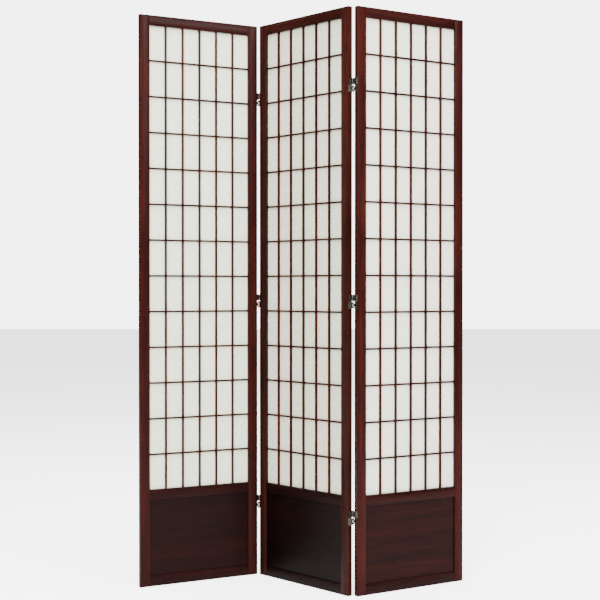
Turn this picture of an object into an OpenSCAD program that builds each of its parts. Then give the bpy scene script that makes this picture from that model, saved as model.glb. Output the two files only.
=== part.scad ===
// Three-panel folding shoji screen.
// Each panel is a mortised wooden frame with a lattice of thin bars over a paper sheet and a kick board below.
// Neighbouring panels are joined by three two-way cross hinges, so that either pair folds flat.
// A panel is drawn in its own frame: x along its width, front face at y = 0, back face at y = panel_t, z up.

/* [Panels] */
// Height of each panel
panel_h = 2134; // [1500:1:2400]
// Width of each panel
panel_w = 482; // [380:1:620]
// Thickness of the frame members
panel_t = 19; // [18:0.5:26]

/* [Frame members] */
// Width of the two upright stiles
stile_w = 38; // [30:0.5:60]
// Height of the top rail
top_rail_h = 38; // [28:0.5:70]
// Height of the rail between the lattice and the kick board
mid_rail_h = 38; // [28:0.5:70]
// Height of the bottom rail
bottom_rail_h = 38; // [28:0.5:90]
// Height of the kick board that shows between its rails
kick_h = 286; // [150:1:450]
// Thickness of the rail tenons
tenon_t = 7; // [5:0.5:9]
// Length of the rail tenons inside the stiles
tenon_l = 24; // [12:0.5:28]
// Shoulder above and below each rail tenon
tenon_shoulder = 6; // [3:0.5:8]
// Gap round a tenon in its mortise
tenon_gap = 0.1; // [0:0.05:0.4]

/* [Lattice] */
// Number of upright lattice bars
bar_columns = 5; // [2:1:8]
// Number of level lattice bars
bar_rows = 12; // [4:1:16]
// Width of a lattice bar as seen from the front
bar_w = 6; // [4:0.5:10]
// Set-back of the upright bars from the frame's front face
bar_setback = 1; // [0.5:0.5:2.5]
// Depth of the upright bars
upright_depth = 9; // [7:0.5:10]
// Depth of the level bars, which pass behind the uprights
level_depth = 6; // [4:0.5:6.5]
// Length of each bar's end inside the frame
bar_stub = 5; // [3:0.5:8]
// Gap in the cross laps and round the stubs
lap_gap = 0.1; // [0:0.05:0.3]

/* [Paper and kick board] */
// Thickness of the laminated paper sheet
paper_t = 0.5; // [0.3:0.1:1]
// Width of the rebate that the paper lies in
rebate_w = 8; // [5:0.5:10]
// Gap between the paper's edge and the rebate
paper_gap = 0.6; // [0.2:0.1:2]
// Thickness of the kick board
board_t = 5; // [3:0.5:6]
// Set-back of the kick board from the frame's front face
board_setback = 5; // [4:0.5:8]
// Depth of the groove that holds the kick board
groove_d = 8; // [5:0.5:12]
// Gap left in the groove for the board to swell
board_gap = 0.8; // [0:0.1:2]
// Gap on each face of the board in its groove
board_face_gap = 0.1; // [0:0.05:0.3]

/* [Hinges] */
// Height of each hinge
hinge_h = 50; // [40:1:70]
// Height of the lowest hinge's centre above the floor
hinge_low_z = 284; // [120:1:500]
// Distance from the panel's top to the highest hinge's centre
hinge_top_drop = 284; // [120:1:500]
// Distance between the pins of two panels that stand in line
pin_spread = 11; // [10:0.5:16]
// Outer radius of the knuckles
knuckle_r = 2.8; // [2.4:0.1:3]
// Distance from the stile's edge to the pin axes
pin_offset = 3.2; // [3.1:0.1:4]
// Radius of the pins
pin_r = 1.3; // [1:0.1:1.5]
// Outer radius of the knuckle at each cross strap's free end
free_knuckle_r = 1.9; // [1.8:0.1:2.2]
// Gap between a pin and the knuckle that turns on it
pin_gap = 0.06; // [0.02:0.01:0.1]
// Thickness of the hinge plates
plate_t = 1.6; // [1:0.1:1.8]
// Gap between neighbouring knuckles along the pin
knuckle_gap = 0.3; // [0.1:0.05:0.5]
// Gap between the two straps of a hinge
strap_split = 3; // [2:0.5:5]
// Height of each of a strap's knuckles
strap_knuckle_h = 6; // [4:0.5:8]
// Length of the wood screws
screw_l = 18; // [10:1:24]
// Radius of the screw shanks
screw_r = 1.6; // [1.2:0.1:1.8]
// Radius of the countersunk screw heads
screw_head_r = 3.1; // [2.4:0.1:3.4]
// Distance between the two screws of a leaf
screw_spacing = 28; // [18:1:34]

/* [Fold at rest] */
// Turn of the left panel from in line with the middle one
left_fold = 74; // [50:1:180]
// Turn of the right panel from in line with the middle one
right_fold = 77.5; // [50:0.5:180]
// Turn of the middle panel from the screen's long axis
middle_turn = -46.5; // [-90:0.5:0]

/* [Hidden] */
$fn = 48;

WOOD = [0.25, 0.06, 0.05];
WOOD_BAR = [0.36, 0.11, 0.08];
PAPER = [0.90, 0.91, 0.87];
METAL = [0.42, 0.41, 0.37];
STEEL = [0.62, 0.61, 0.57];

// Levels and places that follow from the sizes above
inner_w = panel_w - 2 * stile_w;
kick_top = bottom_rail_h + kick_h;
lattice_z0 = kick_top + mid_rail_h;
lattice_z1 = panel_h - top_rail_h;
lattice_h = lattice_z1 - lattice_z0;
pane_w = (inner_w - bar_columns * bar_w) / (bar_columns + 1);
pane_h = (lattice_h - bar_rows * bar_w) / (bar_rows + 1);
bar_back = bar_setback + upright_depth;
level_front = bar_back - level_depth;
tenon_y = (panel_t - tenon_t) / 2;
cut = 1;  // how far a cut runs past a face
hinge_zs = [hinge_low_z, (hinge_low_z + panel_h - hinge_top_drop) / 2, panel_h - hinge_top_drop];

// The hinge: four pins, of which the two of each panel lie in its faces, and two straps that cross between them
strap_l = norm([pin_spread, panel_t]);
half_h = (hinge_h - strap_split) / 2;
leaf_knuckle_h = half_h - 2 * strap_knuckle_h - 2 * knuckle_gap;
notch_r = knuckle_r + 0.4;
free_notch = notch_r + 1.4;  // a cross strap is cut back further at its free end, clear of the leaf's knuckle
screw_reach = screw_l - plate_t;

// Shorter distance between the pins of a pair at a given fold, from the two crossed straps
function near_pins(fold) = sqrt(pow(panel_t * sin(fold / 2), 2) + pow(pin_spread, 2)) - panel_t * sin(fold / 2);
function far_pins(fold) = near_pins(fold) + 2 * panel_t * sin(fold / 2);
function turned(v, a) = [v[0] * cos(a) - v[1] * sin(a), v[0] * sin(a) + v[1] * cos(a)];

// Plan layout: each panel's place is its front left corner and its direction
middle_dir = middle_turn;
left_dir = middle_dir + left_fold;
right_dir = middle_dir + right_fold;
middle_at_0 = [0, 0];

// Right panel: its back pins stand near the middle panel's back pins
m_back_pin_r = middle_at_0 + turned([panel_w + pin_offset, panel_t], middle_dir);
r_back_pin = m_back_pin_r + near_pins(right_fold) * turned([1, 0], middle_dir + right_fold / 2);
right_at_0 = r_back_pin + turned([pin_offset, -panel_t], right_dir);

// Left panel: its front pins stand near the middle panel's front pins
m_front_pin_l = middle_at_0 + turned([-pin_offset, 0], middle_dir);
l_front_pin = m_front_pin_l - near_pins(left_fold) * turned([1, 0], middle_dir + left_fold / 2);
left_at_0 = l_front_pin + turned([-pin_offset - panel_w, 0], left_dir);

// The origin is the centre of the whole plan, knuckles included, at floor level
function left_pin(at, dir, y) = at + turned([-pin_offset, y], dir);
function right_pin(at, dir, y) = at + turned([panel_w + pin_offset, y], dir);
plan_corners = [
    for (p = [[left_at_0, left_dir], [middle_at_0, middle_dir], [right_at_0, right_dir]])
        for (x = [0, panel_w])
            for (y = [0, panel_t])
                p[0] + turned([x, y], p[1])
];
plan_knuckles = [
    for (y = [0, panel_t])
        each [
            right_pin(left_at_0, left_dir, y),
            left_pin(middle_at_0, middle_dir, y),
            right_pin(middle_at_0, middle_dir, y),
            left_pin(right_at_0, right_dir, y)
        ]
];
reach = [knuckle_r, knuckle_r];
plan_points = concat(plan_corners, [for (k = plan_knuckles) k - reach], [for (k = plan_knuckles) k + reach]);
plan_lo = [for (k = [0, 1]) min([for (c = plan_points) c[k]])];
plan_hi = [for (k = [0, 1]) max([for (c = plan_points) c[k]])];
plan_centre = (plan_lo + plan_hi) / 2;
left_at = left_at_0 - plan_centre;
middle_at = middle_at_0 - plan_centre;
right_at = right_at_0 - plan_centre;

// The pins in plan, named by panel, then f or b for the face they lie in, then the edge they stand at
m_fr = right_pin(middle_at, middle_dir, 0);
m_br = right_pin(middle_at, middle_dir, panel_t);
m_fl = left_pin(middle_at, middle_dir, 0);
m_bl = left_pin(middle_at, middle_dir, panel_t);
r_f = left_pin(right_at, right_dir, 0);
r_b = left_pin(right_at, right_dir, panel_t);
l_f = right_pin(left_at, left_dir, 0);
l_b = right_pin(left_at, left_dir, panel_t);

// ---- frame ----

module place(at, dir) {
    translate([at[0], at[1], 0]) rotate([0, 0, dir]) children();
}

// A box from one corner to the other
module block(lo, hi) {
    translate(lo) cube(hi - lo);
}

// The mortise for a rail whose foot is at z0, cut from the stile's inner edge at x = 0 towards -x
module mortise(z0, rail_h) {
    block([-tenon_l - tenon_gap, tenon_y - tenon_gap, z0 + tenon_shoulder - tenon_gap],
          [cut, tenon_y + tenon_t + tenon_gap, z0 + rail_h - tenon_shoulder + tenon_gap]);
}

// Everything that is cut from a stile, with its inner edge at x = 0 and its wood on the -x side
module stile_cuts() {
    mortise(0, bottom_rail_h);
    mortise(kick_top, mid_rail_h);
    mortise(lattice_z1, top_rail_h);
    // groove for the kick board
    block([-groove_d, board_setback - board_face_gap, bottom_rail_h - groove_d],
          [cut, board_setback + board_t + board_face_gap, kick_top + groove_d]);
    // rebate for the paper, from the back
    block([-rebate_w, bar_back, lattice_z0 - rebate_w], [cut, panel_t + cut, lattice_z1 + rebate_w]);
    // pockets for the level bars
    for (i = [0 : bar_rows - 1])
        block([-bar_stub - lap_gap, level_front - lap_gap, level_z(i) - lap_gap],
              [cut, bar_back + cut, level_z(i) + bar_w + lap_gap]);
}

function level_z(i) = lattice_z0 + pane_h + i * (pane_h + bar_w);
function upright_x(i) = stile_w + pane_w + i * (pane_w + bar_w);

// Pilot holes for a leaf's screws in the stile's outer edge at x = 0, with the wood on the +x side
module pilot_holes() {
    for (z = hinge_zs)
        for (s = [-1, 1])
            translate([-cut, panel_t / 2, z + s * screw_spacing / 2])
                rotate([0, 90, 0]) cylinder(r = screw_r, h = screw_reach + cut);
}

module left_side_stile(hinged) {
    color(WOOD) difference() {
        cube([stile_w, panel_t, panel_h]);
        translate([stile_w, 0, 0]) stile_cuts();
        if (hinged) pilot_holes();
    }
}

module right_side_stile(hinged) {
    translate([panel_w, 0, 0]) mirror([1, 0, 0]) left_side_stile(hinged);
}

// A rail with a tenon at each end, its foot at z0
module rail(z0, rail_h) {
    block([stile_w, 0, z0], [panel_w - stile_w, panel_t, z0 + rail_h]);
    block([stile_w - tenon_l, tenon_y, z0 + tenon_shoulder],
          [panel_w - stile_w + tenon_l, tenon_y + tenon_t, z0 + rail_h - tenon_shoulder]);
}

// Pockets for the ends of the upright bars, from z0 to z1
module upright_pockets(z0, z1) {
    for (i = [0 : bar_columns - 1])
        block([upright_x(i) - lap_gap, bar_setback - lap_gap, z0],
              [upright_x(i) + bar_w + lap_gap, bar_back + cut, z1]);
}

module top_rail() {
    color(WOOD) difference() {
        rail(lattice_z1, top_rail_h);
        upright_pockets(lattice_z1 - cut, lattice_z1 + bar_stub + lap_gap);
        block([stile_w - tenon_l - cut, bar_back, lattice_z1 - cut],
              [panel_w - stile_w + tenon_l + cut, panel_t + cut, lattice_z1 + rebate_w]);
    }
}

module mid_rail() {
    color(WOOD) difference() {
        rail(kick_top, mid_rail_h);
        upright_pockets(lattice_z0 - bar_stub - lap_gap, lattice_z0 + cut);
        block([stile_w - tenon_l - cut, bar_back, lattice_z0 - rebate_w],
              [panel_w - stile_w + tenon_l + cut, panel_t + cut, lattice_z0 + cut]);
        block([stile_w - tenon_l - cut, board_setback - board_face_gap, kick_top - cut],
              [panel_w - stile_w + tenon_l + cut, board_setback + board_t + board_face_gap, kick_top + groove_d]);
    }
}

module bottom_rail() {
    color(WOOD) difference() {
        rail(0, bottom_rail_h);
        block([stile_w - tenon_l - cut, board_setback - board_face_gap, bottom_rail_h - groove_d],
              [panel_w - stile_w + tenon_l + cut, board_setback + board_t + board_face_gap, bottom_rail_h + cut]);
    }
}

module kick_board() {
    reach = groove_d - board_gap;
    color(WOOD)
        block([stile_w - reach, board_setback, bottom_rail_h - reach],
              [panel_w - stile_w + reach, board_setback + board_t, kick_top + reach]);
}

// ---- lattice and paper ----

module upright_bars() {
    color(WOOD_BAR)
        for (i = [0 : bar_columns - 1])
            difference() {
                block([upright_x(i), bar_setback, lattice_z0 - bar_stub],
                      [upright_x(i) + bar_w, bar_back, lattice_z1 + bar_stub]);
                for (k = [0 : bar_rows - 1])
                    block([upright_x(i) - cut, level_front - lap_gap, level_z(k) - lap_gap],
                          [upright_x(i) + bar_w + cut, bar_back + cut, level_z(k) + bar_w + lap_gap]);
            }
}

module level_bars() {
    color(WOOD_BAR)
        for (k = [0 : bar_rows - 1])
            block([stile_w - bar_stub, level_front, level_z(k)],
                  [panel_w - stile_w + bar_stub, bar_back, level_z(k) + bar_w]);
}

module paper() {
    reach = rebate_w - paper_gap;
    color(PAPER)
        block([stile_w - reach, bar_back, lattice_z0 - reach],
              [panel_w - stile_w + reach, bar_back + paper_t, lattice_z1 + reach]);
}

// ---- hinges ----
// A leaf lies on the stile's outer edge at x = 0 and stands out towards -x. Its foot is at z = 0.
// The upper strap's knuckle is at the back pin or at the front pin, and the lower strap's at the other one.

module leaf(upper_at_front) {
    upper_y = upper_at_front ? 0 : panel_t;
    lower_y = panel_t - upper_y;
    color(METAL) difference() {
        union() {
            block([-plate_t, notch_r, 0], [0, panel_t - notch_r, hinge_h]);
            leaf_knuckle(lower_y, 0);
            leaf_knuckle(upper_y, half_h + strap_split);
        }
        for (z = [0, half_h + strap_split])
            translate([-pin_offset, z == 0 ? lower_y : upper_y, z - cut]) cylinder(r = pin_r, h = half_h + 2 * cut);
        for (s = [-1, 1])
            translate([0, panel_t / 2, hinge_h / 2 + s * screw_spacing / 2]) rotate([0, -90, 0]) {
                translate([0, 0, -cut]) cylinder(r = screw_r, h = plate_t + 2 * cut);
                cylinder(r1 = screw_head_r - plate_t, r2 = screw_head_r, h = plate_t);
            }
    }
}

// The middle knuckle of one pivot, with the tab that carries it
module leaf_knuckle(y, z0) {
    z = z0 + strap_knuckle_h + knuckle_gap;
    translate([-pin_offset, y, z]) cylinder(r = knuckle_r, h = leaf_knuckle_h);
    block([-plate_t, min(y, panel_t / 2), z], [0, max(y, panel_t / 2), z + leaf_knuckle_h]);
}

module leaf_at(at, dir, z, on_right_edge, upper_at_front) {
    place(at, dir)
        translate([on_right_edge ? panel_w : 0, 0, z - hinge_h / 2])
            mirror([on_right_edge ? 1 : 0, 0, 0]) leaf(upper_at_front);
}

// A strap runs from its first pin at the origin to its second pin along +x. Its foot is at z = 0.
// Its second end either turns on a pin that a leaf holds, or is the free end, which holds pins of its own.
module strap(free_end) {
    z1 = strap_knuckle_h;
    z2 = half_h - strap_knuckle_h;
    end_r = free_end ? free_knuckle_r : knuckle_r;
    end_bore = free_end ? pin_r : pin_r + pin_gap;
    end_notch = free_end ? free_notch : notch_r;
    color(METAL) difference() {
        union() {
            block([0, -plate_t / 2, 0], [strap_l, plate_t / 2, half_h]);
            for (z = [0, z2]) {
                translate([0, 0, z]) cylinder(r = knuckle_r, h = strap_knuckle_h);
                translate([strap_l, 0, z]) cylinder(r = end_r, h = strap_knuckle_h);
            }
        }
        block([-cut - knuckle_r, -knuckle_r - cut, z1], [notch_r, knuckle_r + cut, z2]);
        block([strap_l - end_notch, -knuckle_r - cut, z1], [strap_l + knuckle_r + cut, knuckle_r + cut, z2]);
        translate([0, 0, -cut]) cylinder(r = pin_r + pin_gap, h = half_h + 2 * cut);
        translate([strap_l, 0, -cut]) cylinder(r = end_bore, h = half_h + 2 * cut);
    }
}

// One strap at each of the three hinges, between two pins in plan
module straps(from, to, upper, free_end) {
    d = to - from;
    for (z = hinge_zs)
        translate([from[0], from[1], z - hinge_h / 2 + (upper ? half_h + strap_split : 0)])
            rotate([0, 0, atan2(d[1], d[0])]) strap(free_end);
}

// One pin at each of the three hinges
module pins(at, upper) {
    color(STEEL)
        for (z = hinge_zs)
            translate([at[0], at[1], z - hinge_h / 2 + (upper ? half_h + strap_split : 0)])
                cylinder(r = pin_r, h = half_h);
}

// The free end's two short pins, one in each of the strap's knuckles there
module stub_pins(at, upper) {
    color(STEEL)
        for (z = hinge_zs)
            for (end = [0, half_h - strap_knuckle_h])
                translate([at[0], at[1], z - hinge_h / 2 + (upper ? half_h + strap_split : 0) + end])
                    cylinder(r = pin_r, h = strap_knuckle_h);
}

// A countersunk wood screw along +x, its head's face at x = -plate_t
module screw() {
    slot_d = 1.1;
    slot_w = 0.8;
    color(STEEL) translate([-plate_t, 0, 0]) rotate([0, 90, 0]) difference() {
        union() {
            cylinder(r1 = screw_head_r, r2 = screw_head_r - plate_t, h = plate_t);
            cylinder(r = screw_r, h = screw_l - 2 * screw_r);
            translate([0, 0, screw_l - 2 * screw_r]) cylinder(r1 = screw_r, r2 = 0, h = 2 * screw_r);
        }
        for (a = [0, 90])
            rotate([0, 0, a])
                block([-screw_head_r + slot_w, -slot_w / 2, -cut], [screw_head_r - slot_w, slot_w / 2, slot_d]);
    }
}

module screws_at(at, dir, on_right_edge) {
    place(at, dir)
        translate([on_right_edge ? panel_w : 0, panel_t / 2, 0])
            mirror([on_right_edge ? 1 : 0, 0, 0])
                for (z = hinge_zs)
                    for (s = [-1, 1])
                        translate([0, 0, z + s * screw_spacing / 2]) screw();
}

// ---- nodes ----

place(left_at, left_dir) left_side_stile(false);  // left_stile_outer
place(left_at, left_dir) right_side_stile(true);  // left_stile_inner
place(left_at, left_dir) top_rail();  // left_top_rail
place(left_at, left_dir) mid_rail();  // left_mid_rail
place(left_at, left_dir) bottom_rail();  // left_bottom_rail
place(left_at, left_dir) kick_board();  // left_kick_board
place(left_at, left_dir) upright_bars();  // left_upright_bars
place(left_at, left_dir) level_bars();  // left_level_bars
place(left_at, left_dir) paper();  // left_paper

place(middle_at, middle_dir) left_side_stile(true);  // middle_stile_left
place(middle_at, middle_dir) right_side_stile(true);  // middle_stile_right
place(middle_at, middle_dir) top_rail();  // middle_top_rail
place(middle_at, middle_dir) mid_rail();  // middle_mid_rail
place(middle_at, middle_dir) bottom_rail();  // middle_bottom_rail
place(middle_at, middle_dir) kick_board();  // middle_kick_board
place(middle_at, middle_dir) upright_bars();  // middle_upright_bars
place(middle_at, middle_dir) level_bars();  // middle_level_bars
place(middle_at, middle_dir) paper();  // middle_paper

place(right_at, right_dir) left_side_stile(true);  // right_stile_inner
place(right_at, right_dir) right_side_stile(false);  // right_stile_outer
place(right_at, right_dir) top_rail();  // right_top_rail
place(right_at, right_dir) mid_rail();  // right_mid_rail
place(right_at, right_dir) bottom_rail();  // right_bottom_rail
place(right_at, right_dir) kick_board();  // right_kick_board
place(right_at, right_dir) upright_bars();  // right_upright_bars
place(right_at, right_dir) level_bars();  // right_level_bars
place(right_at, right_dir) paper();  // right_paper

leaf_at(left_at, left_dir, hinge_zs[0], true, false);  // left_leaf_low
leaf_at(left_at, left_dir, hinge_zs[1], true, false);  // left_leaf_centre
leaf_at(left_at, left_dir, hinge_zs[2], true, false);  // left_leaf_top
leaf_at(middle_at, middle_dir, hinge_zs[0], false, true);  // middle_left_leaf_low
leaf_at(middle_at, middle_dir, hinge_zs[1], false, true);  // middle_left_leaf_centre
leaf_at(middle_at, middle_dir, hinge_zs[2], false, true);  // middle_left_leaf_top
leaf_at(middle_at, middle_dir, hinge_zs[0], true, false);  // middle_right_leaf_low
leaf_at(middle_at, middle_dir, hinge_zs[1], true, false);  // middle_right_leaf_centre
leaf_at(middle_at, middle_dir, hinge_zs[2], true, false);  // middle_right_leaf_top
leaf_at(right_at, right_dir, hinge_zs[0], false, true);  // right_leaf_low
leaf_at(right_at, right_dir, hinge_zs[1], false, true);  // right_leaf_centre
leaf_at(right_at, right_dir, hinge_zs[2], false, true);  // right_leaf_top

straps(m_fl, l_b, true, false);  // left_main_straps
straps(m_bl, l_f, false, true);  // left_cross_straps
straps(m_br, r_f, true, false);  // right_main_straps
straps(m_fr, r_b, false, true);  // right_cross_straps

pins(l_b, true);  // left_panel_pins
union() { pins(m_fl, true); pins(m_bl, false); }  // middle_left_pins
stub_pins(l_f, false);  // left_strap_pins
pins(r_f, true);  // right_panel_pins
union() { pins(m_br, true); pins(m_fr, false); }  // middle_right_pins
stub_pins(r_b, false);  // right_strap_pins

screws_at(left_at, left_dir, true);  // left_screws
screws_at(middle_at, middle_dir, false);  // middle_left_screws
screws_at(middle_at, middle_dir, true);  // middle_right_screws
screws_at(right_at, right_dir, false);  // right_screws
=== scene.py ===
import math

import bmesh
import bpy
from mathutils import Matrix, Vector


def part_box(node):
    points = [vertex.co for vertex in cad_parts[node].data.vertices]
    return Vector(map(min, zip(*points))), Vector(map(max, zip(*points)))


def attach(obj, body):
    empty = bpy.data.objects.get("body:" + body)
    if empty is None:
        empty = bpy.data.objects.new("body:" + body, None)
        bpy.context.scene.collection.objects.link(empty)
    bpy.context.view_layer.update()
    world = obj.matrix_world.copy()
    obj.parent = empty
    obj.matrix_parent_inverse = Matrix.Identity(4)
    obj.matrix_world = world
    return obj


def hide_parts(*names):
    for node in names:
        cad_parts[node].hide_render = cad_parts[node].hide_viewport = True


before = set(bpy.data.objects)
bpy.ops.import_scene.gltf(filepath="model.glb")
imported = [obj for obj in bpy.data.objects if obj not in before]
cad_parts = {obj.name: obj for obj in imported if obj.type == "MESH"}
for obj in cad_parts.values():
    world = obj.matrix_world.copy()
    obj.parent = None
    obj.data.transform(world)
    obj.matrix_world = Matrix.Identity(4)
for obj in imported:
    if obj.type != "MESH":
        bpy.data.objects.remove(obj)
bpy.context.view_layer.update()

# Stiles and rails: planed solid hardwood, 19 mm thick, joined with mortise and tenon.
# They are stained dark rosewood and sprayed with a thin red lacquer, which the makers
# rub through a little on the long edges. The edges are eased with a block plane.

PANELS = ("left", "middle", "right")
PANEL_STILES = {
    "left": ("left_stile_outer", "left_stile_inner"),
    "middle": ("middle_stile_left", "middle_stile_right"),
    "right": ("right_stile_inner", "right_stile_outer"),
}
MERGE_WITHIN = 0.00002
FLAT_TURN = math.radians(1)
CORNER_TURN = math.radians(60)
SMOOTH_TURN = math.radians(35)


def panel_turn(panel):
    """The panel's direction in plan, from the middles of its two stiles."""
    first, second = PANEL_STILES[panel]
    (ax, ay, _), (bx, by, _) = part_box(first)
    (cx, cy, _), (dx, dy, _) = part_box(second)
    return math.atan2((cy + dy) - (ay + by), (cx + dx) - (ax + bx))


def select_only(piece):
    bpy.ops.object.select_all(action="DESELECT")
    piece.select_set(True)
    bpy.context.view_layer.objects.active = piece


def eased_copy(node, body, ease, shortest):
    """The CAD node's shape with its long edges rounded over by a plane."""
    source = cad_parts[node]
    piece = bpy.data.objects.new(node + "_eased", source.data.copy())
    piece.data.materials.clear()
    bpy.context.scene.collection.objects.link(piece)
    select_only(piece)
    bpy.ops.object.mode_set(mode="EDIT")
    bpy.ops.mesh.select_all(action="SELECT")
    bpy.ops.mesh.remove_doubles(threshold=MERGE_WITHIN)
    bpy.ops.mesh.dissolve_limited(angle_limit=FLAT_TURN)
    bpy.ops.mesh.select_mode(type="EDGE")
    bpy.ops.mesh.select_all(action="DESELECT")
    shape = bmesh.from_edit_mesh(piece.data)
    for edge in shape.edges:
        if len(edge.link_faces) == 2 and edge.calc_length() > shortest:
            if edge.is_convex and edge.calc_face_angle() > CORNER_TURN:
                edge.select_set(True)
    bmesh.update_edit_mesh(piece.data)
    bpy.ops.mesh.bevel(offset=ease, segments=2, affect="EDGES", clamp_overlap=False)
    bpy.ops.object.mode_set(mode="OBJECT")
    bpy.ops.object.shade_smooth_by_angle(angle=SMOOTH_TURN)
    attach(piece, body)
    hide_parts(node)
    return piece


def new_group(name, inputs, outputs):
    """A node group with these sockets, its nodes, its way to link, and its two end nodes."""
    group = bpy.data.node_groups.new(name, "ShaderNodeTree")
    for direction, sockets in (("INPUT", inputs), ("OUTPUT", outputs)):
        for socket, kind in sockets:
            group.interface.new_socket(name=socket, in_out=direction, socket_type="NodeSocket" + kind)
    nodes = group.nodes
    return group, nodes, group.links.new, nodes.new("NodeGroupInput"), nodes.new("NodeGroupOutput")


def new_surface(name):
    """A material, its nodes, its way to link, and its shader."""
    material = bpy.data.materials.new(name)
    material.use_nodes = True
    nodes = material.node_tree.nodes
    return material, nodes, material.node_tree.links.new, nodes["Principled BSDF"]


def noise(nodes, link, place, scale, detail, roughness=0.55, distortion=0.0):
    node = nodes.new("ShaderNodeTexNoise")
    node.inputs["Scale"].default_value = scale
    node.inputs["Detail"].default_value = detail
    node.inputs["Roughness"].default_value = roughness
    node.inputs["Distortion"].default_value = distortion
    link(place, node.inputs["Vector"])
    return node.outputs["Fac"]


def remap(nodes, link, value, low, high, to_low, to_high):
    node = nodes.new("ShaderNodeMapRange")
    node.inputs["From Min"].default_value = low
    node.inputs["From Max"].default_value = high
    node.inputs["To Min"].default_value = to_low
    node.inputs["To Max"].default_value = to_high
    link(value, node.inputs["Value"])
    return node.outputs["Result"]


def combine(nodes, link, operation, first, second):
    node = nodes.new("ShaderNodeMath")
    node.operation = operation
    link(first, node.inputs[0])
    link(second, node.inputs[1])
    return node.outputs["Value"]


def vector_math(nodes, operation):
    node = nodes.new("ShaderNodeVectorMath")
    node.operation = operation
    return node


def mix_colour(nodes, link, factor):
    node = nodes.new("ShaderNodeMix")
    node.data_type = "RGBA"
    link(factor, node.inputs["Factor"])
    return node


def along_panel(nodes, link, turn):
    """Object coordinates turned so that x runs along the panel."""
    place = nodes.new("ShaderNodeTexCoord")
    turned = nodes.new("ShaderNodeMapping")
    turned.inputs["Rotation"].default_value = (0.0, 0.0, -turn)
    link(place.outputs["Object"], turned.inputs["Vector"])
    return turned.outputs["Vector"]


def add_relief(nodes, link, shader, height, strength, distance):
    relief = nodes.new("ShaderNodeBump")
    relief.inputs["Strength"].default_value = strength
    relief.inputs["Distance"].default_value = distance
    link(height, relief.inputs["Height"])
    link(relief.outputs["Normal"], shader.inputs["Normal"])


def make_edge_wear():
    """A mask that is high on a piece's outer edges, broken up where hands and cloths rub."""
    group, nodes, link, given, out = new_group("edge_wear", [("Vector", "Vector")], [("Wear", "Float")])
    rounded = nodes.new("ShaderNodeBevel")
    rounded.samples = 4
    rounded.inputs["Radius"].default_value = 0.0016
    surface = nodes.new("ShaderNodeNewGeometry")
    facing = vector_math(nodes, "DOT_PRODUCT")
    link(rounded.outputs["Normal"], facing.inputs[0])
    link(surface.outputs["Normal"], facing.inputs[1])
    edge = remap(nodes, link, facing.outputs["Value"], 0.995, 0.86, 0.0, 1.0)
    patches = noise(nodes, link, given.outputs["Vector"], 38.0, 3.0)
    broken = remap(nodes, link, patches, 0.35, 0.62, 0.45, 0.9)
    link(combine(nodes, link, "MULTIPLY", edge, broken), out.inputs["Wear"])
    return group


def edge_mask(nodes, link, place):
    wear = nodes.new("ShaderNodeGroup")
    wear.node_tree = edge_wear
    link(place, wear.inputs["Vector"])
    return wear.outputs["Wear"]


def make_grain():
    """Hardwood grain under lacquer: broad figure, fine streaks and open pores."""
    group, nodes, link, given, out = new_group(
        "lacquered_grain",
        [("Vector", "Vector"), ("Stretch", "Vector"),
         ("Dark", "Color"), ("Light", "Color"), ("Worn", "Color")],
        [("Color", "Color"), ("Roughness", "Float"), ("Height", "Float")],
    )
    place = given.outputs["Vector"]
    along = vector_math(nodes, "MULTIPLY")
    link(place, along.inputs[0])
    link(given.outputs["Stretch"], along.inputs[1])
    stretched = along.outputs["Vector"]
    figure = noise(nodes, link, stretched, 0.45, 4.0, 0.5, 0.9)
    streaks = noise(nodes, link, stretched, 3.2, 5.0, 0.6, 0.2)
    pores = noise(nodes, link, stretched, 9.0, 2.0, 0.5)
    cloud = noise(nodes, link, place, 3.5, 2.0)
    base = mix_colour(nodes, link, remap(nodes, link, figure, 0.32, 0.68, 0.0, 1.0))
    link(given.outputs["Dark"], base.inputs["A"])
    link(given.outputs["Light"], base.inputs["B"])
    streaked = remap(nodes, link, streaks, 0.3, 0.7, 0.62, 1.32)
    clouded = remap(nodes, link, cloud, 0.3, 0.7, 0.78, 1.22)
    pored = remap(nodes, link, pores, 0.56, 0.64, 1.0, 0.55)
    shade = combine(nodes, link, "MULTIPLY", streaked, clouded)
    deep = combine(nodes, link, "MULTIPLY", shade, pored)
    toned = vector_math(nodes, "SCALE")
    link(base.outputs["Result"], toned.inputs[0])
    link(deep, toned.inputs["Scale"])
    worn = mix_colour(nodes, link, edge_mask(nodes, link, place))
    link(toned.outputs["Vector"], worn.inputs["A"])
    link(given.outputs["Worn"], worn.inputs["B"])
    link(worn.outputs["Result"], out.inputs["Color"])
    link(remap(nodes, link, cloud, 0.3, 0.7, 0.30, 0.46), out.inputs["Roughness"])
    link(deep, out.inputs["Height"])
    return group


def wood(name, turn, stretch, dark, light, worn, relief=0.25):
    """A lacquered wood whose grain runs along the axis that has the smallest stretch."""
    material, nodes, link, shader = new_surface(name)
    shader.inputs["Coat Weight"].default_value = 0.01
    shader.inputs["Coat Roughness"].default_value = 0.2
    shader.inputs["Specular IOR Level"].default_value = 0.05
    grain = nodes.new("ShaderNodeGroup")
    grain.node_tree = lacquered_grain
    grain.inputs["Stretch"].default_value = stretch
    for socket, tone in (("Dark", dark), ("Light", light), ("Worn", worn)):
        grain.inputs[socket].default_value = (*tone, 1.0)
    link(along_panel(nodes, link, turn), grain.inputs["Vector"])
    link(grain.outputs["Color"], shader.inputs["Base Color"])
    link(grain.outputs["Roughness"], shader.inputs["Roughness"])
    add_relief(nodes, link, shader, grain.outputs["Height"], relief, 0.0004)
    return material


edge_wear = make_edge_wear()
lacquered_grain = make_grain()

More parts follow.
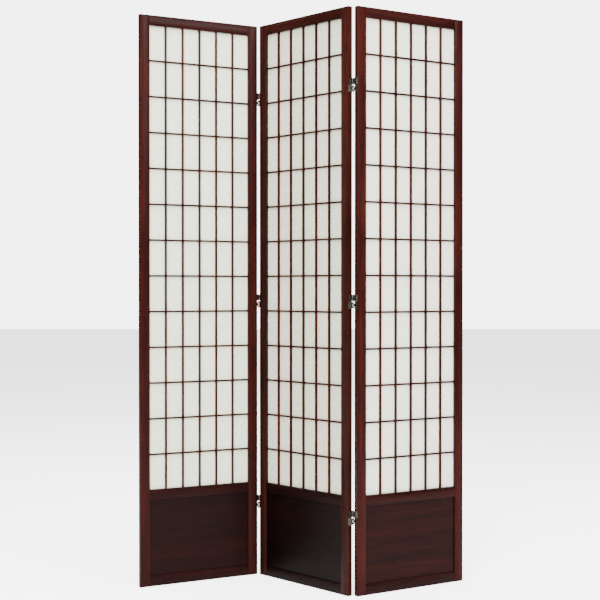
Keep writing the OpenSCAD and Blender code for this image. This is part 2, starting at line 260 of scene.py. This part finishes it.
STILE_EASE = 0.0010
RAIL_EASE = 0.0006
SHORTEST_FRAME_EDGE = 0.2
UPRIGHT_GRAIN = (46.0, 46.0, 1.6)
LEVEL_GRAIN = (1.6, 46.0, 46.0)
ROSEWOOD = {
    "left": ((0.0100, 0.0014, 0.0009), (0.0230, 0.0027, 0.0017)),
    "middle": ((0.0095, 0.0024, 0.0016), (0.0205, 0.0038, 0.0026)),
    "right": ((0.0105, 0.0018, 0.0012), (0.0250, 0.0030, 0.0019)),
}
RUBBED_RED = (0.050, 0.0036, 0.0024)
# Each rail keeps this share of its panel's tones: lower rails darker, the middle panel's most, as painted
# shade darker towards the floor.
RAIL_PAINTED_SHADE = {
    "left": {"top_rail": 0.85, "mid_rail": 0.50, "bottom_rail": 0.42},
    "middle": {"top_rail": 0.85, "mid_rail": 0.32, "bottom_rail": 0.28},
    "right": {"top_rail": 0.95, "mid_rail": 0.65, "bottom_rail": 0.55},
}


def darkened(tone, tone_share):
    """A tone darkened to this share of it; on the rails and the middle kick board the darkening is
    painted shade.
    """
    return tuple(tone_share * part for part in tone)


turns = {panel: panel_turn(panel) for panel in PANELS}
for panel in PANELS:
    dark, light = ROSEWOOD[panel]
    stile_wood = wood("rosewood_stile_" + panel, turns[panel], UPRIGHT_GRAIN, dark, light, RUBBED_RED)
    for stile in PANEL_STILES[panel]:
        eased = eased_copy(stile, panel + "_panel", STILE_EASE, SHORTEST_FRAME_EDGE)
        eased.data.materials.append(stile_wood)
    # Each rail's tones are darkened to its share, which is painted shade.
    for rail, tone_share in RAIL_PAINTED_SHADE[panel].items():
        tones = [darkened(tone, tone_share) for tone in (dark, light, RUBBED_RED)]
        rail_wood = wood("rosewood_%s_%s" % (rail, panel), turns[panel], LEVEL_GRAIN, *tones)
        rail_node = panel + "_" + rail
        eased = eased_copy(rail_node, panel + "_panel", RAIL_EASE, SHORTEST_FRAME_EDGE)
        eased.data.materials.append(rail_wood)

# Kick boards: 5 mm plywood with a sliced veneer on both faces, let into grooves in the frame.
# The veneer's grain lies level, and is finer and flatter than the frame's.
# It is darker than the frame; the middle panel's is much darker still, which is painted shade.

VENEER_GRAIN = (1.1, 30.0, 30.0)
# Share of the frame's tones for each veneer; the middle panel's much smaller share is painted shade.
VENEER_TONE_AND_SHADE = {"left": 0.40, "middle": 0.18, "right": 0.45}
VENEER_CONTRAST = 0.8
VENEER_RELIEF = 0.12


def refinish(node, material):
    """Gives a CAD node's own mesh a new finish in its slot."""
    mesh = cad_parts[node].data
    if not mesh.materials:
        mesh.materials.append(material)
    for index in range(len(mesh.materials)):
        mesh.materials[index] = material


for panel in PANELS:
    dark, light = [darkened(tone, VENEER_TONE_AND_SHADE[panel]) for tone in ROSEWOOD[panel]]
    flatter = tuple(VENEER_CONTRAST * a + (1 - VENEER_CONTRAST) * b for a, b in zip(light, dark))
    veneer = wood("veneer_" + panel, turns[panel], VENEER_GRAIN, dark, flatter, RUBBED_RED, VENEER_RELIEF)
    refinish(panel + "_kick_board", veneer)

# Lattice bars: thin strips of softwood, cross-lapped, with the uprights running through in front.
# They have the frame's red lacquer. The uprights' stain is slightly lighter than the frame's,
# and the level bars' is about the same.

BAR_EASE = 0.0005
SHORTEST_BAR_EDGE = 0.1
UPRIGHT_TONES = ((0.013, 0.0020, 0.0013), (0.029, 0.0034, 0.0022), (0.036, 0.0038, 0.0026))
LEVEL_TONES = ((0.010, 0.0022, 0.0014), (0.024, 0.0038, 0.0024), (0.020, 0.0030, 0.0020))
BARS = (("upright", UPRIGHT_GRAIN, UPRIGHT_TONES), ("level", LEVEL_GRAIN, LEVEL_TONES))
for panel in PANELS:
    for lie, grain, tones in BARS:
        bar_wood = wood("bar_%s_%s" % (lie, panel), turns[panel], grain, *tones)
        bar_node = "%s_%s_bars" % (panel, lie)
        bars = eased_copy(bar_node, panel + "_panel", BAR_EASE, SHORTEST_BAR_EDGE)
        bars.data.materials.append(bar_wood)

# Paper: one laminated sheet of fibre paper for each panel, in a rebate behind the lattice.
# It is a slightly green off-white, cloudy where the pulp is thicker, with long loose fibres.

# Each panel's sheet has its own tone of painted light and shade: the middle sheet darkest, the right one
# lightest.
PAPER_LIT_AND_SHADED_TONES = {"left": (0.57, 0.59, 0.47), "middle": (0.43, 0.43, 0.34), "right": (0.63, 0.63, 0.53)}
FIBRE_TONE = (0.70, 0.71, 0.62)
FIBRE_LIES = ((0.5, (30.0, 30.0, 320.0)), (-0.7, (36.0, 36.0, 280.0)))


def make_paper(name, turn, tone):
    """Pulp in soft clouds, under two sets of fibres that lean opposite ways."""
    material, nodes, link, shader = new_surface(name)
    shader.inputs["Sheen Weight"].default_value = 0.15
    shader.inputs["Specular IOR Level"].default_value = 0.25
    place = along_panel(nodes, link, turn)
    pulp = noise(nodes, link, place, 26.0, 5.0, 0.6)
    strands = []
    for lean, stretch in FIBRE_LIES:
        leaning = nodes.new("ShaderNodeMapping")
        leaning.inputs["Rotation"].default_value = (0.0, lean, 0.0)
        link(place, leaning.inputs["Vector"])
        thin = vector_math(nodes, "MULTIPLY")
        thin.inputs[1].default_value = stretch
        link(leaning.outputs["Vector"], thin.inputs[0])
        fibre = noise(nodes, link, thin.outputs["Vector"], 1.0, 2.0, 0.5, 1.2)
        strands.append(remap(nodes, link, fibre, 0.62, 0.74, 0.0, 1.0))
    fibres = combine(nodes, link, "MAXIMUM", *strands)
    cloudy = vector_math(nodes, "SCALE")
    cloudy.inputs[0].default_value = tone
    link(remap(nodes, link, pulp, 0.3, 0.7, 0.955, 1.03), cloudy.inputs["Scale"])
    fibred = mix_colour(nodes, link, fibres)
    fibred.inputs["B"].default_value = (*FIBRE_TONE, 1.0)
    link(cloudy.outputs["Vector"], fibred.inputs["A"])
    link(fibred.outputs["Result"], shader.inputs["Base Color"])
    link(remap(nodes, link, pulp, 0.3, 0.7, 0.55, 0.72), shader.inputs["Roughness"])
    add_relief(nodes, link, shader, fibres, 0.2, 0.0002)
    return material


for panel in PANELS:
    refinish(panel + "_paper", make_paper("fibre_paper_" + panel, turns[panel], PAPER_LIT_AND_SHADED_TONES[panel]))

# Hinges: brass leaves and crossed straps with rolled knuckles, aged to a dark antique finish.
# The brass is dark brown, and a pale grey-gold in spots and where its edges are rubbed.

BRASS_DEEP = (0.020, 0.018, 0.014)
BRASS_BRIGHT = (0.16, 0.15, 0.125)


def make_metal(name, deep, bright, roughness, spread):
    """A tarnished metal, bright in spots and on its worn edges."""
    material, nodes, link, shader = new_surface(name)
    shader.inputs["Metallic"].default_value = 1.0
    place = nodes.new("ShaderNodeTexCoord").outputs["Object"]
    tarnish = noise(nodes, link, place, 240.0, 4.0, 0.6)
    spots = remap(nodes, link, tarnish, 0.34, 0.66, 0.0, 0.55)
    rubbed = combine(nodes, link, "MAXIMUM", spots, edge_mask(nodes, link, place))
    tone = mix_colour(nodes, link, rubbed)
    tone.inputs["A"].default_value = (*deep, 1.0)
    tone.inputs["B"].default_value = (*bright, 1.0)
    link(tone.outputs["Result"], shader.inputs["Base Color"])
    rough = remap(nodes, link, tarnish, 0.3, 0.7, roughness - spread, roughness + spread)
    link(rough, shader.inputs["Roughness"])
    add_relief(nodes, link, shader, tarnish, 0.15, 0.0001)
    return material


antique_brass = make_metal("antique_brass", BRASS_DEEP, BRASS_BRIGHT, 0.40, 0.10)
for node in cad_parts:
    if "_leaf_" in node or node.endswith("_straps"):
        refinish(node, antique_brass)

# Pins and screws: drawn steel pins in the knuckles, and countersunk steel wood screws.
# Both are left dull steel, a little brighter in spots and on their edges.

STEEL_DEEP = (0.06, 0.056, 0.048)
STEEL_BRIGHT = (0.20, 0.19, 0.17)
dull_steel = make_metal("dull_steel", STEEL_DEEP, STEEL_BRIGHT, 0.38, 0.08)
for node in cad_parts:
    if node.endswith("_pins") or node.endswith("_screws"):
        refinish(node, dull_steel)

# Floor: a large pale matt sheet just under the stiles and bottom rails, with no seam near them.
# Only the camera sees it glow, which brings its tone near the surround's.

FLOOR_SIZE = 60.0
FLOOR_DROP = 0.0005
FLOOR_GLOW = 2.4
bpy.ops.object.select_all(action="DESELECT")
bpy.ops.mesh.primitive_plane_add(size=FLOOR_SIZE, location=(0.0, 0.0, -FLOOR_DROP))
bpy.ops.object.transform_apply(location=True, rotation=True, scale=True)
floor = bpy.context.object
floor.name = "studio_floor"
floor_paint, paint_nodes, paint_link, painted = new_surface("pale_floor")
painted.inputs["Base Color"].default_value = (0.94, 0.94, 0.935, 1.0)
painted.inputs["Roughness"].default_value = 0.7
painted.inputs["Emission Color"].default_value = (1.0, 1.0, 1.0, 1.0)
direct = paint_nodes.new("ShaderNodeLightPath")
glow = paint_nodes.new("ShaderNodeMath")
glow.operation = "MULTIPLY"
glow.inputs[1].default_value = FLOOR_GLOW
paint_link(direct.outputs["Is Camera Ray"], glow.inputs[0])
paint_link(glow.outputs["Value"], painted.inputs["Emission Strength"])
floor.data.materials.append(floor_paint)

# Studio light: a pale surround that the camera sees brighter than it lights, and three soft panels.
# The key is high at the left front, a weaker fill is at the right front, and the widest is overhead.

SURROUND_LIGHT = 0.35
SURROUND_SEEN = 5.5
SCREEN_MIDDLE = (0.0, 0.0, 1.1)
world = bpy.data.worlds.new("studio_surround")
world.use_nodes = True
surround = world.node_tree.nodes["Background"]
surround.inputs["Color"].default_value = (1.0, 1.0, 1.0, 1.0)
seen = world.node_tree.nodes.new("ShaderNodeLightPath")
brightness = world.node_tree.nodes.new("ShaderNodeMapRange")
brightness.inputs["To Min"].default_value = SURROUND_LIGHT
brightness.inputs["To Max"].default_value = SURROUND_SEEN
world.node_tree.links.new(seen.outputs["Is Camera Ray"], brightness.inputs["Value"])
world.node_tree.links.new(brightness.outputs["Result"], surround.inputs["Strength"])
bpy.context.scene.world = world


def soft_panel(name, place, aim, size, power):
    """A square area light at a place, facing its aim."""
    lamp = bpy.data.lights.new(name, "AREA")
    lamp.shape = "SQUARE"
    lamp.size = size
    lamp.energy = power
    holder = bpy.data.objects.new(name, lamp)
    bpy.context.scene.collection.objects.link(holder)
    holder.location = place
    back = [a - b for a, b in zip(place, aim)]
    across = math.hypot(back[0], back[1])
    holder.rotation_euler = (math.atan2(across, back[2]), 0.0, math.atan2(back[0], -back[1]))


soft_panel("key_panel", (-1.6, -5.6, 4.6), SCREEN_MIDDLE, 2.0, 900.0)
soft_panel("fill_panel", (4.0, -4.0, 3.6), SCREEN_MIDDLE, 2.0, 330.0)
soft_panel("top_panel", (0.0, -0.6, 6.0), (0.0, 0.0, 0.0), 5.0, 1500.0)

# Camera: a little above the screen's middle and square to the zigzag, with a longish lens.
# It is pitched down by half a degree, which is near enough level for the stiles to look upright.

CAMERA_PLACE = (-0.009, -4.625, 1.111)
CAMERA_PITCH = math.radians(-0.49)
CAMERA_LENS = 73.8
CAMERA_SENSOR = 36.0
lens = bpy.data.cameras.new("studio_camera")
lens.lens = CAMERA_LENS
lens.sensor_width = CAMERA_SENSOR
camera = bpy.data.objects.new("studio_camera", lens)
bpy.context.scene.collection.objects.link(camera)
camera.location = CAMERA_PLACE
camera.rotation_euler = (math.pi / 2 + CAMERA_PITCH, 0.0, 0.0)
bpy.context.scene.camera = camera
